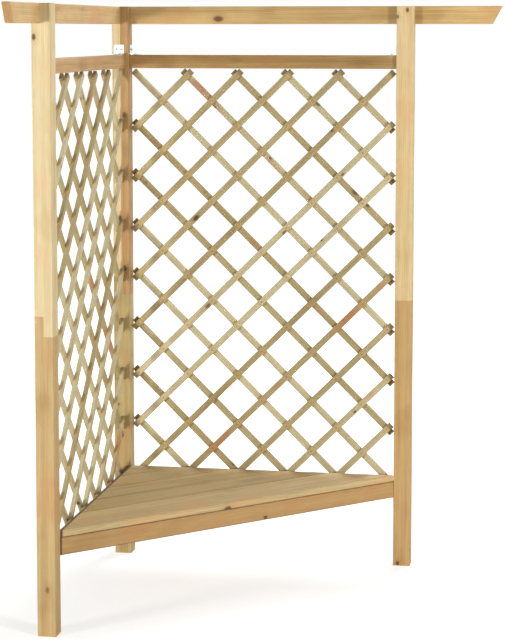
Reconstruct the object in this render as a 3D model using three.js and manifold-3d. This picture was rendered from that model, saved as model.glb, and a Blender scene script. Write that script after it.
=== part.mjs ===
// Corner arbour with a triangular bench, two trellis panels and two overhanging top beams.
// Millimetres, +Z up, feet on z = 0, origin under the middle of the whole footprint.

import * as THREE from 'three';
import { mergeVertices } from 'three/addons/utils/BufferGeometryUtils.js';
import Module from 'manifold-3d';

const wasm = await Module();
wasm.setup();

// Overall sizes
const totalHeight = 1970;
const clearSpan = 950;
const seatHeight = 325;

// Posts, each made of two lengths joined by a half-lap
const postSide = 60;
const lapFootHeight = 946;
const lapLength = 64;

// Top beams, laid in notches in the outer half of the posts
const beamThickness = 28;
const beamHeight = 62;
const beamOverhang = 300;
const beamUndercut = 33;

// Rails between the posts, set back from the posts' inner faces
const railThickness = 38;
const railHeight = 47;
const seatRailHeight = 38;
const railSetback = 15;
const railDepthBelowTop = 170;
const railDepthBelowSeat = 45;

// Seat frame and seat boards
const bearerThickness = 38;
const bearerHeight = 47;
const apronThickness = 28;
const apronHeight = 58;
const boardThickness = 22;
const frontBoardWidth = 165;
const rearBoardCount = 4;
const boardSeam = 2;
const seatClearance = 0.5;

// Trellis slats, crossing at right angles
const slatWidth = 22;
const slatThickness = 12;
const slatTail = 25;
const slatBite = 0.2;
const cellWidthWanted = 178;
const trellisSideGap = 2;

// Angle brackets bent from strip
const bracketLegLength = 35;
const bracketWidth = 36;
const bracketThickness = 2;
const bracketBendRadius = 2.5;
const bracketHoleDiameter = 5;
const bracketHoleReach = 19;
const bracketHoleSpacing = 16;

// Countersunk screws with a cross recess
const screwHeadDiameter = 9;
const screwHeadHeight = 4;
const screwShankDiameter = 4.8;
const screwTipLength = 6;
const recessLength = 5.4;
const recessWidth = 1.3;
const recessDepth = 2;
const screwTipCover = 10;
const endGrainGripLength = 40;
const apronCounterboreDepth = 15;

// Clearances and finish
const gap = 0.3;
const arrisRadius = 3;
const boardArrisRadius = 2.5;
const overrun = 20;
const arrisSteps = 2;
const gridPasses = 4;
const screwSides = 10;
const bendSteps = 3;
const holeSides = 12;

// Places that follow from the sizes above
const half = postSide / 2;
const span = clearSpan + postSide;
const clearEnd = half + clearSpan;
const lapTop = lapFootHeight + lapLength;
const frameTop = seatHeight - boardThickness - gap;
const bearerBottom = frameTop - bearerHeight;
const apronBottom = frameTop - apronHeight;
const railInnerFace = half - railSetback;
const railMiddle = railInnerFace - railThickness / 2;
const upperRailTop = totalHeight - railDepthBelowTop;
const lowerRailTop = seatHeight - railDepthBelowSeat;
const lowerRailBottom = lowerRailTop - seatRailHeight;
const upperRailBottom = upperRailTop - railHeight;
const beamBottom = totalHeight - beamHeight;
const beamInnerFace = beamThickness - half;
const bearerFace = railInnerFace + gap;
const bearerInnerFace = bearerFace + bearerThickness;
const overallSide = span + postSide + beamOverhang;

const up = new THREE.Vector3(0, 0, 1);
const diagonal = new THREE.Vector3(1, 1, 0).normalize();
const inwards = new THREE.Vector3(-1, 1, 0).normalize();
const latheDown = new THREE.Vector3(0, -1, 0);

// Each side of the corner: the way along its trellis, and the way in towards the seat
const sides = {
  left: { along: new THREE.Vector3(0, -1, 0), inward: new THREE.Vector3(1, 0, 0) },
  right: { along: new THREE.Vector3(1, 0, 0), inward: new THREE.Vector3(0, -1, 0) },
};

const tones = {
  paleTimber: { color: 0xd9bf8a, roughness: 0.78, metalness: 0 },
  tanTimber: { color: 0xc7a66c, roughness: 0.8, metalness: 0 },
  warmTimber: { color: 0xc49a62, roughness: 0.8, metalness: 0 },
  oliveTimber: { color: 0xa58450, roughness: 0.82, metalness: 0 },
  seatTimber: { color: 0xbda371, roughness: 0.8, metalness: 0 },
  slatTimber: { color: 0xb59c6a, roughness: 0.85, metalness: 0 },
  zinc: { color: 0xdfe2e2, roughness: 0.35, metalness: 1 },
  screwSteel: { color: 0xb8b29a, roughness: 0.4, metalness: 1 },
};

// A place on one side, measured along from the corner post, in from the posts' mid-plane and up
function spot(side, along, inward, height) {
  return new THREE.Vector3()
    .addScaledVector(side.along, along)
    .addScaledVector(side.inward, inward)
    .addScaledVector(up, height);
}

// Turns a closed three.js geometry into a solid that can be cut
function solidFrom(geometry) {
  const bare = geometry.clone();
  bare.deleteAttribute('normal');
  bare.deleteAttribute('uv');
  const merged = mergeVertices(bare);
  const vertProperties = new Float32Array(merged.attributes.position.array);
  const triVerts = new Uint32Array(merged.index.array);
  return new wasm.Manifold(new wasm.Mesh({ numProp: 3, vertProperties, triVerts }));
}

// An outline drawn in the plane of two directions, extruded equally to both sides of its origin
function sheet(outline, origin, across, rise, thickness) {
  const geometry = new THREE.ExtrudeGeometry(outline, {
    depth: thickness, bevelEnabled: false, curveSegments: bendSteps,
  });
  geometry.translate(0, 0, -thickness / 2);
  const through = new THREE.Vector3().crossVectors(across, rise);
  geometry.applyMatrix4(new THREE.Matrix4().makeBasis(across, rise, through).setPosition(origin));
  return solidFrom(geometry);
}

function rectangle(width, height) {
  const [x, y] = [width / 2, height / 2];
  return new THREE.Shape([
    new THREE.Vector2(-x, -y), new THREE.Vector2(x, -y), new THREE.Vector2(x, y), new THREE.Vector2(-x, y),
  ]);
}

// A rectangular section with its long edges eased
function easedSection(width, height, easing) {
  const x = width / 2;
  const y = height / 2;
  const outline = new THREE.Shape();
  outline.absarc(x - easing, y - easing, easing, 0, Math.PI / 2);
  outline.absarc(easing - x, y - easing, easing, Math.PI / 2, Math.PI);
  outline.absarc(easing - x, easing - y, easing, Math.PI, Math.PI * 1.5);
  outline.absarc(x - easing, easing - y, easing, Math.PI * 1.5, Math.PI * 2);
  outline.closePath();
  return outline;
}

// A planed length of timber between two points, with one pair of faces square to faceWay
function timber(start, end, width, height, faceWay = up, easing = arrisRadius) {
  const length = start.distanceTo(end);
  const geometry = new THREE.ExtrudeGeometry(easedSection(width, height, easing), {
    depth: length, bevelEnabled: false, curveSegments: arrisSteps,
  });
  const grain = new THREE.Vector3().subVectors(end, start).normalize();
  const widthWay = new THREE.Vector3().crossVectors(faceWay, grain);
  geometry.applyMatrix4(new THREE.Matrix4().makeBasis(widthWay, faceWay, grain).setPosition(start));
  return solidFrom(geometry);
}

// A timber that runs along one side, given by its ranges along, in and up
function sideTimber(side, [from, to], [outer, inner], [bottom, top]) {
  const middle = (outer + inner) / 2;
  const height = (bottom + top) / 2;
  const start = spot(side, from, middle, height);
  return timber(start, spot(side, to, middle, height), inner - outer, top - bottom);
}

// A plain block in one side's directions, for cutting with
function block(side, [from, to], [outer, inner], [bottom, top]) {
  const low = spot(side, from, outer, bottom);
  const high = spot(side, to, inner, top);
  const box = new THREE.Box3().setFromPoints([low, high]);
  const size = box.getSize(new THREE.Vector3());
  const geometry = new THREE.BoxGeometry(size.x, size.y, size.z);
  const centre = box.getCenter(new THREE.Vector3());
  geometry.translate(centre.x, centre.y, centre.z);
  return solidFrom(geometry);
}

// A timber that runs along the seat's front, given by its range inward from the front face
function frontTimber([outer, inner], [bottom, top], easing) {
  const middleOfFront = new THREE.Vector3(span / 2, -span / 2, (bottom + top) / 2);
  const centre = middleOfFront.addScaledVector(inwards, (outer + inner) / 2);
  const start = centre.clone().addScaledVector(diagonal, -span);
  const end = centre.clone().addScaledVector(diagonal, span);
  return timber(start, end, inner - outer, top - bottom, up, easing);
}

// Everything in front of a plane that is parallel to the seat's front
function aheadOf(inward) {
  return frontTimber([-span, inward], [-overrun, totalHeight], arrisRadius);
}

// The space over the bench between two distances from the corner, the same along both sides
function bay(nearest, farthest) {
  return block(sides.right, [nearest, farthest], [nearest, farthest], [-overrun, totalHeight]);
}

function outlineOf(...points) {
  return points.map(([x, y]) => new THREE.Vector2(x, y));
}

// A countersunk screw's outline from its tip up to its head, which lies at zero
function screwOutline(length) {
  const [shank, head] = [screwShankDiameter / 2, screwHeadDiameter / 2];
  return outlineOf([0, -length], [shank, screwTipLength - length], [shank, -screwHeadHeight],
    [head, 0], [0, 0]);
}

// The hole that clears such a screw, open above its head
function holeOutline(length) {
  const [shank, head] = [screwShankDiameter / 2 + gap, screwHeadDiameter / 2 + gap];
  return outlineOf([0, -length - gap], [shank, -length - gap], [shank, -screwHeadHeight],
    [head, 0], [head, overrun], [0, overrun]);
}

// A turned solid with its zero at a point, and the end below zero pointing the given way
function turned(outline, point, way) {
  const geometry = new THREE.LatheGeometry(outline, screwSides);
  const turn = new THREE.Quaternion().setFromUnitVectors(latheDown, way);
  geometry.applyMatrix4(new THREE.Matrix4().makeRotationFromQuaternion(turn).setPosition(point));
  return solidFrom(geometry);
}

// A screw whose head lies flush at a point and whose tip points the given way
function screw(point, way, length) {
  let solid = turned(screwOutline(length), point, way);
  const sideWay = new THREE.Vector3().crossVectors(way, Math.abs(way.z) > 0.5 ? diagonal : up);
  const riseWay = new THREE.Vector3().crossVectors(sideWay, way);
  const slot = rectangle(recessLength, recessWidth);
  for (const [across, rise] of [[sideWay, riseWay], [riseWay, sideWay]]) {
    solid = solid.subtract(sheet(slot, point, across, rise, recessDepth * 2));
  }
  return solid;
}

// An angle bracket whose outer corner is at a point, with one leg each way
function angleBracket(corner, firstWay, secondWay) {
  const bend = bracketBendRadius + bracketThickness;
  const outline = new THREE.Shape();
  outline.moveTo(bracketLegLength, 0);
  outline.lineTo(bracketLegLength, bracketThickness);
  outline.lineTo(bend, bracketThickness);
  outline.absarc(bend, bend, bracketBendRadius, Math.PI * 1.5, Math.PI, true);
  outline.lineTo(bracketThickness, bracketLegLength);
  outline.lineTo(0, bracketLegLength);
  outline.lineTo(0, bend);
  outline.absarc(bend, bend, bend, Math.PI, Math.PI * 1.5, false);
  outline.closePath();
  let solid = sheet(outline, corner, firstWay, secondWay, bracketWidth);
  const widthWay = new THREE.Vector3().crossVectors(firstWay, secondWay);
  for (const [legWay, faceWay] of [[firstWay, secondWay], [secondWay, firstWay]]) {
    for (const hand of [-1, 1]) {
      const geometry = new THREE.CylinderGeometry(
        bracketHoleDiameter / 2, bracketHoleDiameter / 2, bracketThickness * 4, holeSides);
      const turn = new THREE.Quaternion().setFromUnitVectors(new THREE.Vector3(0, 1, 0), faceWay);
      const place = corner.clone()
        .addScaledVector(legWay, bracketHoleReach)
        .addScaledVector(widthWay, hand * bracketHoleSpacing / 2);
      geometry.applyMatrix4(new THREE.Matrix4().makeRotationFromQuaternion(turn).setPosition(place));
      solid = solid.subtract(solidFrom(geometry));
    }
  }
  return solid;
}

// Every piece by name, and every screw with the pieces that it passes through
const pieces = new Map();
const screws = [];

function add(name, solid, tone) {
  pieces.set(name, { solid, tone });
}

function addScrew(name, point, way, length, through) {
  screws.push({ name, point, way, length, through });
}

// Posts: the upper length keeps the inner half of the lap, the lower length the outer half
function addPosts() {
  const through = [-overrun - half, overrun + half];
  const posts = [
    { name: 'corner_post', side: sides.left, along: 0, notched: [sides.left, sides.right] },
    { name: 'left_post', side: sides.left, along: span, notched: [sides.left] },
    { name: 'right_post', side: sides.right, along: span, notched: [sides.right] },
  ];
  for (const { name, side, along, notched } of posts) {
    const at = (height) => spot(side, along, 0, height);
    const everywhere = through.map((reach) => along + reach);
    let lower = timber(at(0), at(lapTop - gap), postSide, postSide, side.inward);
    lower = lower.subtract(block(side, everywhere, [-gap / 2, half + overrun], [lapFootHeight, lapTop]));
    let upper = timber(at(lapFootHeight + gap), at(totalHeight), postSide, postSide, side.inward);
    upper = upper.subtract(block(side, everywhere, [-half - overrun, gap / 2], [lapFootHeight, lapTop]));
    for (const beamSide of notched) {
      const reach = beamSide === side ? everywhere : through;
      upper = upper.subtract(block(beamSide, reach,
        [-half - overrun, beamInnerFace + gap], [beamBottom - gap, totalHeight + overrun]));
    }
    add(`${name}_lower`, lower, tones.tanTimber);
    add(`${name}_upper`, upper, tones.paleTimber);
    addLapScrews(name, side, along);
  }
}

// Two screws through each lap, driven from the outer face
function addLapScrews(name, side, along) {
  const heightShares = [0.27, 0.73];
  heightShares.forEach((share, i) => {
    const point = spot(side, along, -half, lapFootHeight + lapLength * share);
    addScrew(`${name}_lap_screw_${i + 1}`, point, side.inward, postSide - screwTipCover,
      [`${name}_lower`, `${name}_upper`]);
  });
}

// Top beams: the right one runs over the corner post, the left one butts against its inner face
function addBeams() {
  const end = span + half + beamOverhang;
  const starts = { left: beamInnerFace + gap, right: -half };
  for (const [hand, side] of Object.entries(sides)) {
    let beam = sideTimber(side, [starts[hand], end], [-half, beamInnerFace], [beamBottom, totalHeight]);
    const run = overrun * beamUndercut / beamHeight;
    const wedge = new THREE.Shape([
      new THREE.Vector2(end + run, totalHeight + overrun),
      new THREE.Vector2(end - beamUndercut - run, beamBottom - overrun),
      new THREE.Vector2(end + run, beamBottom - overrun),
    ]);
    beam = beam.subtract(sheet(wedge, new THREE.Vector3(), side.along, up, span));
    add(`${hand}_top_beam`, beam, tones.tanTimber);
    const [lowShare, middleShare, highShare] = [0.25, 0.5, 0.75];
    const level = (share) => beamBottom + beamHeight * share;
    const fromOutside = (name, along, share, post) => addScrew(name,
      spot(side, along, -half, level(share)), side.inward, postSide - screwTipCover,
      [`${hand}_top_beam`, post]);
    fromOutside(`${hand}_beam_screw_1`, span - half / 2, lowShare, `${hand}_post_upper`);
    fromOutside(`${hand}_beam_screw_2`, span + half / 2, highShare, `${hand}_post_upper`);
    fromOutside(`${hand}_beam_corner_screw`, (half + beamInnerFace) / 2,
      hand === 'left' ? highShare : lowShare, 'corner_post_upper');
    if (hand === 'right') {
      addScrew('beam_end_screw', spot(side, (beamInnerFace - half) / 2, -half, level(middleShare)),
        side.inward, beamThickness + endGrainGripLength, ['right_top_beam', 'left_top_beam']);
    }
  }
}

// Rails between the posts, each held by an angle bracket at both ends
function addRails() {
  const ends = [half + gap, clearEnd - gap];
  const faces = [railInnerFace - railThickness, railInnerFace];
  for (const [hand, side] of Object.entries(sides)) {
    const back = side.along.clone().negate();
    const rails = [
      { name: `${hand}_upper`, levels: [upperRailBottom, upperRailTop], legWay: up },
      { name: `${hand}_seat`, levels: [lowerRailBottom, lowerRailTop], legWay: up.clone().negate() },
    ];
    for (const { name, levels, legWay } of rails) {
      add(`${name}_rail`, sideTimber(side, ends, faces, levels), tones.oliveTimber);
      const seat = legWay === up ? levels[1] + gap : levels[0] - gap;
      add(`${name}_bracket_corner`,
        angleBracket(spot(side, ends[0], railMiddle, seat), side.along, legWay), tones.zinc);
      add(`${name}_bracket_outer`,
        angleBracket(spot(side, ends[1], railMiddle, seat), back, legWay), tones.zinc);
    }
  }
}

// The cells of a panel, found with the reach of the slats' square ends past the outermost nodes
function trellisGrid(width, height) {
  const rows = Math.max(1, Math.round(height / cellWidthWanted));
  const columns = Math.max(1, Math.round(width / cellWidthWanted));
  let cell = new THREE.Vector2(width / columns, height / rows);
  let reach = new THREE.Vector2();
  for (let pass = 0; pass < gridPasses; pass += 1) {
    const lean = cell.clone().normalize();
    reach = new THREE.Vector2(
      slatTail * lean.x + slatWidth * lean.y / 2, slatTail * lean.y + slatWidth * lean.x / 2);
    cell = new THREE.Vector2((width - 2 * reach.x) / columns, (height - 2 * reach.y) / rows);
  }
  return { rows, columns, cell, reach };
}

// Two trellis panels: slats rising to the right in front, slats falling to the right behind
function addTrellises() {
  const bottom = lowerRailTop + gap;
  const height = upperRailBottom - gap - bottom;
  const { rows, columns, cell, reach } = trellisGrid(clearSpan - 2 * trellisSideGap, height);
  const rising = [];
  for (let line = 1; line < rows + columns; line += 1) {
    const from = Math.max(0, line - rows);
    const to = Math.min(columns, line);
    rising.push([[from, line - from], [to, line - to]]);
  }
  const falling = rising.map((slat) => slat.map(([u, v]) => [columns - u, v]));
  for (const [hand, side] of Object.entries(sides)) {
    const rightWay = hand === 'right' ? side.along : side.along.clone().negate();
    const layerOffset = (slatThickness - slatBite) / 2;
    const place = ([u, v], depth) => spot(side, half + clearSpan / 2, depth, bottom + reach.y)
      .addScaledVector(rightWay, (u - columns / 2) * cell.x)
      .addScaledVector(up, (rows - v) * cell.y);
    const slats = [[rising, layerOffset], [falling, -layerOffset]].flatMap(
      ([lines, depth]) => lines.map(([a, b]) => slat(place(a, depth), place(b, depth), side.inward)));
    add(`${hand}_trellis`, slats.reduce((panel, next) => panel.add(next)), tones.slatTimber);
  }
}

// A sawn slat that runs past its two end nodes
function slat(first, last, faceWay) {
  const grain = last.clone().sub(first).normalize();
  const widthWay = new THREE.Vector3().crossVectors(faceWay, grain);
  const middle = first.clone().add(last).multiplyScalar(1 / 2);
  return sheet(rectangle(slatWidth, slatThickness), middle, widthWay, faceWay,
    first.distanceTo(last) + 2 * slatTail);
}

// Seat frame: the front apron, a bearer along each seat rail and one down the middle
function addSeatFrame() {
  const levels = [bearerBottom, frameTop];
  const apronPlace = aheadOf(apronThickness + gap);
  add('front_apron', frontTimber([0, apronThickness], [apronBottom, frameTop], arrisRadius)
    .intersect(bay(bearerFace, clearEnd - gap)), tones.warmTimber);
  const starts = { left: half + gap, right: bearerInnerFace + gap };
  for (const [hand, side] of Object.entries(sides)) {
    const faces = [bearerFace, bearerInnerFace];
    add(`${hand}_seat_bearer`,
      sideTimber(side, [starts[hand], clearEnd], faces, levels).subtract(apronPlace), tones.warmTimber);
    const alongShares = [0.14, 0.47, 0.8];
    alongShares.forEach((share, i) => addScrew(`${hand}_bearer_screw_${i + 1}`,
      spot(side, half + clearSpan * share, bearerInnerFace, (bearerBottom + lowerRailTop) / 2),
      side.inward.clone().negate(), bearerThickness + railThickness - screwTipCover,
      [`${hand}_seat_bearer`, `${hand}_seat_rail`]));
  }
  const height = (bearerBottom + frameTop) / 2;
  const corner = new THREE.Vector3(0, 0, height);
  const front = new THREE.Vector3(span / 2, -span / 2, height);
  add('seat_centre_bearer', timber(corner, front, bearerThickness, bearerHeight)
    .intersect(bay(bearerInnerFace + gap, clearEnd)).subtract(apronPlace), tones.warmTimber);
}

// Seat boards, parallel to the front, cut off along both sides
function addSeatBoards() {
  const edge = half + seatClearance;
  const levels = [seatHeight - boardThickness, seatHeight];
  const outline = new THREE.Shape([
    new THREE.Vector2(edge, -edge),
    new THREE.Vector2(edge, edge - span),
    new THREE.Vector2(span - edge, -edge),
  ]);
  const seat = sheet(outline, new THREE.Vector3(), new THREE.Vector3(1, 0, 0), new THREE.Vector3(0, 1, 0),
    totalHeight);
  const depth = (span - 2 * edge) * Math.SQRT1_2;
  const rearBoardWidth = (depth - frontBoardWidth) / rearBoardCount;
  let from = 0;
  for (let i = 1; i <= rearBoardCount + 1; i += 1) {
    const to = from + (i === 1 ? frontBoardWidth : rearBoardWidth);
    add(`seat_board_${i}`,
      frontTimber([from, to - boardSeam], levels, boardArrisRadius).intersect(seat), tones.seatTimber);
    from = to;
  }
}

// Screws driven up into the front board from deep holes in the apron's bottom edge
function addApronScrews() {
  const headHeight = apronBottom + apronCounterboreDepth;
  const lengthShares = [-0.42, 0, 0.42];
  lengthShares.forEach((share, i) => addScrew(`apron_screw_${i + 1}`,
    new THREE.Vector3(span / 2, -span / 2, headHeight)
      .addScaledVector(inwards, apronThickness / 2)
      .addScaledVector(diagonal, clearSpan * Math.SQRT2 * share),
    up, seatHeight - screwTipCover - headHeight, ['front_apron', 'seat_board_1']));
}

// Screws, with a clearance hole for each in the pieces that it passes through
function addScrews() {
  for (const { name, point, way, length, through } of screws) {
    const hole = turned(holeOutline(length), point, way);
    for (const pieceName of through) {
      const piece = pieces.get(pieceName);
      piece.solid = piece.solid.subtract(hole);
    }
    add(name, screw(point, way, length), tones.screwSteel);
  }
}

function meshFrom(name, { solid, tone }) {
  const { vertProperties, triVerts } = solid.getMesh();
  const geometry = new THREE.BufferGeometry();
  geometry.setAttribute('position', new THREE.BufferAttribute(vertProperties, 3));
  geometry.setIndex(new THREE.BufferAttribute(triVerts, 1));
  geometry.computeVertexNormals();
  const mesh = new THREE.Mesh(geometry, new THREE.MeshStandardMaterial(tone));
  mesh.name = name;
  return mesh;
}

addPosts();
addBeams();
addRails();
addTrellises();
addSeatFrame();
addSeatBoards();
addApronScrews();
addScrews();

// The pieces are modelled from the corner post's centre; the group moves them over the origin
const arbourSeat = new THREE.Group();
const framework = new THREE.Group();
framework.position.set(half - overallSide / 2, overallSide / 2 - half, 0);
for (const [name, piece] of pieces) {
  framework.add(meshFrom(name, piece));
}
arbourSeat.add(framework);

export default arbourSeat;
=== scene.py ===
"""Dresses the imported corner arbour: timber, slats, pins, screws, floor, light and camera."""

import math

import bmesh
import bpy
from mathutils import Matrix, Vector


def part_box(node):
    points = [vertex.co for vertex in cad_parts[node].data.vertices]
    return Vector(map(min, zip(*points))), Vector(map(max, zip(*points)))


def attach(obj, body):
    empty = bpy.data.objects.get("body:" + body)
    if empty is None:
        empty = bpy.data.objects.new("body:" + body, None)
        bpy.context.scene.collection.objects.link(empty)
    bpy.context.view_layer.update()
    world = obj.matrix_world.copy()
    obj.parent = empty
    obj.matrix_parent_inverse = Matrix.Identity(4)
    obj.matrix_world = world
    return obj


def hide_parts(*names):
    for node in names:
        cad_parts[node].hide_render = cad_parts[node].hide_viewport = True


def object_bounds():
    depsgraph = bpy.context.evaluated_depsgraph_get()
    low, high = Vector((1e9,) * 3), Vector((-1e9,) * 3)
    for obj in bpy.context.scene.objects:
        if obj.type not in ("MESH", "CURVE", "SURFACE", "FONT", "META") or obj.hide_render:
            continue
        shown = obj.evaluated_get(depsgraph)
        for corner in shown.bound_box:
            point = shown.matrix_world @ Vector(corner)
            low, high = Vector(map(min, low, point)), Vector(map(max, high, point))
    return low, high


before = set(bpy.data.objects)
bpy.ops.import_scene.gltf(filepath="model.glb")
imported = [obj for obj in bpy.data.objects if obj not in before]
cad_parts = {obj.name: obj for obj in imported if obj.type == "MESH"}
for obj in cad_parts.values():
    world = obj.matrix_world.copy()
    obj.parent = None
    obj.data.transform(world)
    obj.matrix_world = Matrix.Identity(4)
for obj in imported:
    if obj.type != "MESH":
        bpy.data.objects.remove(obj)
cad_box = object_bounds()

# Sizes in metres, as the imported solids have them
POST_SIDE = 0.060
CLEAR_SPAN = 0.950
OVERALL_SIDE = 1.370
SLAT_WIDTH = 0.022
SLAT_THICKNESS = 0.012
SLAT_TAIL = 0.025
SLAT_LAP = 0.0002
TRELLIS_COLUMNS = 5
TRELLIS_ROWS = 8
RAIL_MIDDLE_OFFSET = -0.004
BEARER_MIDDLE_OFFSET = 0.0343
BEARER_WIDTH = 0.038
BEARER_HEIGHT = 0.047
CENTRE_BEARER_MIDDLE = 0.35
BRACKET_HEEL = 0.0303
BRACKET_HOLE_REACH = 0.019
BRACKET_HOLE_SPACING = 0.016
BRACKET_THICKNESS = 0.002
UPPER_BRACKET_LEVEL = 1.8003
SEAT_BRACKET_LEVEL = 0.2417
REAR_BOARD_COUNT = 4
FRONT_BOARD_WIDTH = 0.165
SEAT_CLEARANCE = 0.0005
BOARD_THICKNESS = 0.022
APRON_THICKNESS = 0.028

POST_SPACING = CLEAR_SPAN + POST_SIDE
SEAT_DEPTH = (CLEAR_SPAN - 2 * SEAT_CLEARANCE) / math.sqrt(2)
REAR_BOARD_WIDTH = (SEAT_DEPTH - FRONT_BOARD_WIDTH) / REAR_BOARD_COUNT
FRONT_HALF_LENGTH = POST_SPACING / math.sqrt(2)
CORNER = Vector(((POST_SIDE - OVERALL_SIDE) / 2, (OVERALL_SIDE - POST_SIDE) / 2, 0))
ARBOUR_MIDDLE = (cad_box[0] + cad_box[1]) / 2

# Sizes in metres of what only the scene has
SLAT_ARRIS = 0.0012
SCREW_HEAD_RADIUS = 0.0042
SCREW_HEAD_HEIGHT = 0.0019
PIN_HEAD_RADIUS = 0.0026
PIN_HEAD_HEIGHT = 0.0009
HEAD_SUNK = 0.0003
SETTLING_ROUNDS = 4

UP = Vector((0, 0, 1))
RIGHTWARD = Vector((1, 0, 0))
BACKWARD = Vector((0, 1, 0))
FRONT_EDGE = Vector((1, 1, 0)).normalized()
INTO_CORNER = Vector((-1, 1, 0)).normalized()

# The way along each side from the corner, and the way in towards the seat
SIDES = {"right": (RIGHTWARD, -BACKWARD), "left": (-BACKWARD, RIGHTWARD)}

# Early wood, late wood, warm patches and knots of each kind of timber
TONES = {
    "pale": ("#ddcb9e", "#c2a26a", "#dcb68a", "#584228"),
    "cream": ("#dec693", "#bf9b61", "#d8ac79", "#67462a"),
    "straw": ("#c8ab76", "#a37f4a", "#c3925e", "#58391f"),
    "tan": ("#c8a46c", "#a57b45", "#c38f5b", "#5a3d22"),
    "beam": ("#d2b277", "#ad874e", "#c9945e", "#5e3d26"),
    "honey": ("#d7b67d", "#b28a52", "#cd9862", "#624127"),
    "rail": ("#bb975f", "#8d6b39", "#b07f4b", "#4e341f"),
    "fair rail": ("#cba56f", "#9f794a", "#bf8c5a", "#573a24"),
    "heart": ("#c09a66", "#8f683a", "#b87f50", "#4a2f1b"),
    "olive": ("#c2ab75", "#9c824a", "#b78d58", "#4b341c"),
    "seat": ("#cdb37d", "#a68852", "#cfa56d", "#5b4126"),
    "front": ("#dfc58f", "#ba9965", "#e1b47a", "#6a4526"),
    "apron": ("#caa269", "#ab7f49", "#c9915b", "#5a3820"),
}
FIGURE_LEVELS = ("Rings", "Fibre", "Streak", "Patch")
# Painted shade for the narrow gaps along the seat and apron edges and at their cut ends
GAP_SHADE_TONE = "#4e381e"
BUMP_STRENGTH = 0.6

# Slats run from the first tone to the second by chance; the rest is the same on all
SLAT_EARLY = ("#d3c79f", "#b9a776")
SLAT_LATE = ("#b6a579", "#8c794f")
SLAT_WARM = "#b9835a"
SLAT_KNOT = "#5c3b24"
# A browner tone around each place where two slats cross
SLAT_LAP_TINT = "#c8a464"
# A darker tone towards each slat's ends
SLAT_END_DARK = "#6e5c35"

# Compass direction and height in degrees, distance, width and watts; 0 is the front
LAMPS = {
    "left_lamp": (-42, 0, 8.0, 1.8, 425.0),
    "right_lamp": (54, 9, 6.0, 1.2, 190.0),
    "back_lamp": (165, 35, 6.0, 3.0, 205.0),
}
SOFT_SKY = (0.97, 0.985, 1.0, 1.0)
SOFT_SKY_STRENGTH = 0.23
WHITE = (1.0, 1.0, 1.0, 1.0)

# The floor glows by its lift close to the arbour, and in full white further off
FLOOR_REACH = 40.0
FLOOR_GREY = (0.8, 0.8, 0.8, 1.0)
FLOOR_LIFT = 0.6
SHADOW_REACH = 1.2
WHITE_REACH = 4.5

# The photograph's viewpoint: metres, radians and, for the lens, millimetres
CAMERA_PLACE = (1.01766, -6.19439, 1.89034)
CAMERA_DIP = 0.098222
CAMERA_TURN = 0.173776
LENS_LENGTH = 111.144
LENS_SHIFT = -0.15008
VIEW_REACH = 200.0


def linear(hex_colour):
    """A colour written as on a paint chart, as the shader's linear values."""
    values = [int(hex_colour[i : i + 2], 16) / 255 for i in (1, 3, 5)]
    return tuple(v / 12.92 if v <= 0.04045 else ((v + 0.055) / 1.055) ** 2.4 for v in values) + (1,)


class Graph:
    """Short calls for building one node tree."""

    def __init__(self, tree):
        self.tree = tree

    def put(self, kind, inputs=None, **settings):
        node = self.tree.nodes.new(kind)
        for name, value in settings.items():
            setattr(node, name, value)
        for name, value in (inputs or {}).items():
            self.feed(node.inputs[name], value)
        return node

    def make(self, kind, inputs=None, **settings):
        """Puts a node and gives its first output."""
        return self.put(kind, inputs, **settings).outputs[0]

    def feed(self, socket, value):
        if isinstance(value, bpy.types.NodeSocket):
            self.tree.links.new(value, socket)
        else:
            socket.default_value = value

    def math(self, operation, *values, clamp=False):
        inputs = dict(enumerate(values))
        return self.make("ShaderNodeMath", inputs, operation=operation, use_clamp=clamp)

    def plus(self, first, second):
        return self.math("ADD", first, second)

    def minus(self, first, second):
        return self.math("SUBTRACT", first, second)

    def times(self, first, second):
        return self.math("MULTIPLY", first, second)

    def over(self, first, second):
        return self.math("DIVIDE", first, second)

    def vector(self, operation, *values):
        node = self.put("ShaderNodeVectorMath", dict(enumerate(values)), operation=operation)
        return node.outputs["Value" if operation == "LENGTH" else "Vector"]

    def scaled(self, vector, factor):
        inputs = {"Vector": vector, "Scale": factor}
        return self.make("ShaderNodeVectorMath", inputs, operation="SCALE")

    def split(self, vector):
        return self.put("ShaderNodeSeparateXYZ", {"Vector": vector}).outputs

    def join(self, x, y, z):
        return self.make("ShaderNodeCombineXYZ", {"X": x, "Y": y, "Z": z})

    def fade(self, value, low, high, to_low=0.0, to_high=1.0):
        """A smooth step from one level to another as a value passes from low to high."""
        inputs = {
            "Value": value, "From Min": low, "From Max": high, "To Min": to_low, "To Max": to_high}
        return self.make("ShaderNodeMapRange", inputs, interpolation_type="SMOOTHSTEP")

    def fall(self, value, low, high):
        """A smooth step from one down to nothing as a value passes from low to high."""
        return self.fade(value, low, high, 1.0, 0.0)

    def noise(self, vector, scale, seed=0.0, detail=2.0, roughness=0.5):
        inputs = {
            "Vector": vector, "W": seed, "Scale": scale, "Detail": detail, "Roughness": roughness}
        return self.make("ShaderNodeTexNoise", inputs, noise_dimensions="4D")

    def grain(self, vector, rates, seed, **settings):
        """Noise that changes at a rate of its own along each direction."""
        return self.noise(self.vector("MULTIPLY", vector, rates), 1.0, seed, **settings)

    def blend(self, factor, first, second, mode="MIX"):
        """A mix of two colours; the node's colour sockets have no names of their own."""
        node = self.put(
            "ShaderNodeMix", {0: factor, 6: first, 7: second}, data_type="RGBA", blend_type=mode,
            clamp_factor=True)
        return node.outputs[2]

    def place(self, group, **inputs):
        """Places a shader group; an input's name is written with underscores for spaces."""
        node = self.put("ShaderNodeGroup", node_tree=group)
        for name, value in inputs.items():
            self.feed(node.inputs[name.replace("_", " ").title()], value)
        return node.outputs


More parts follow.
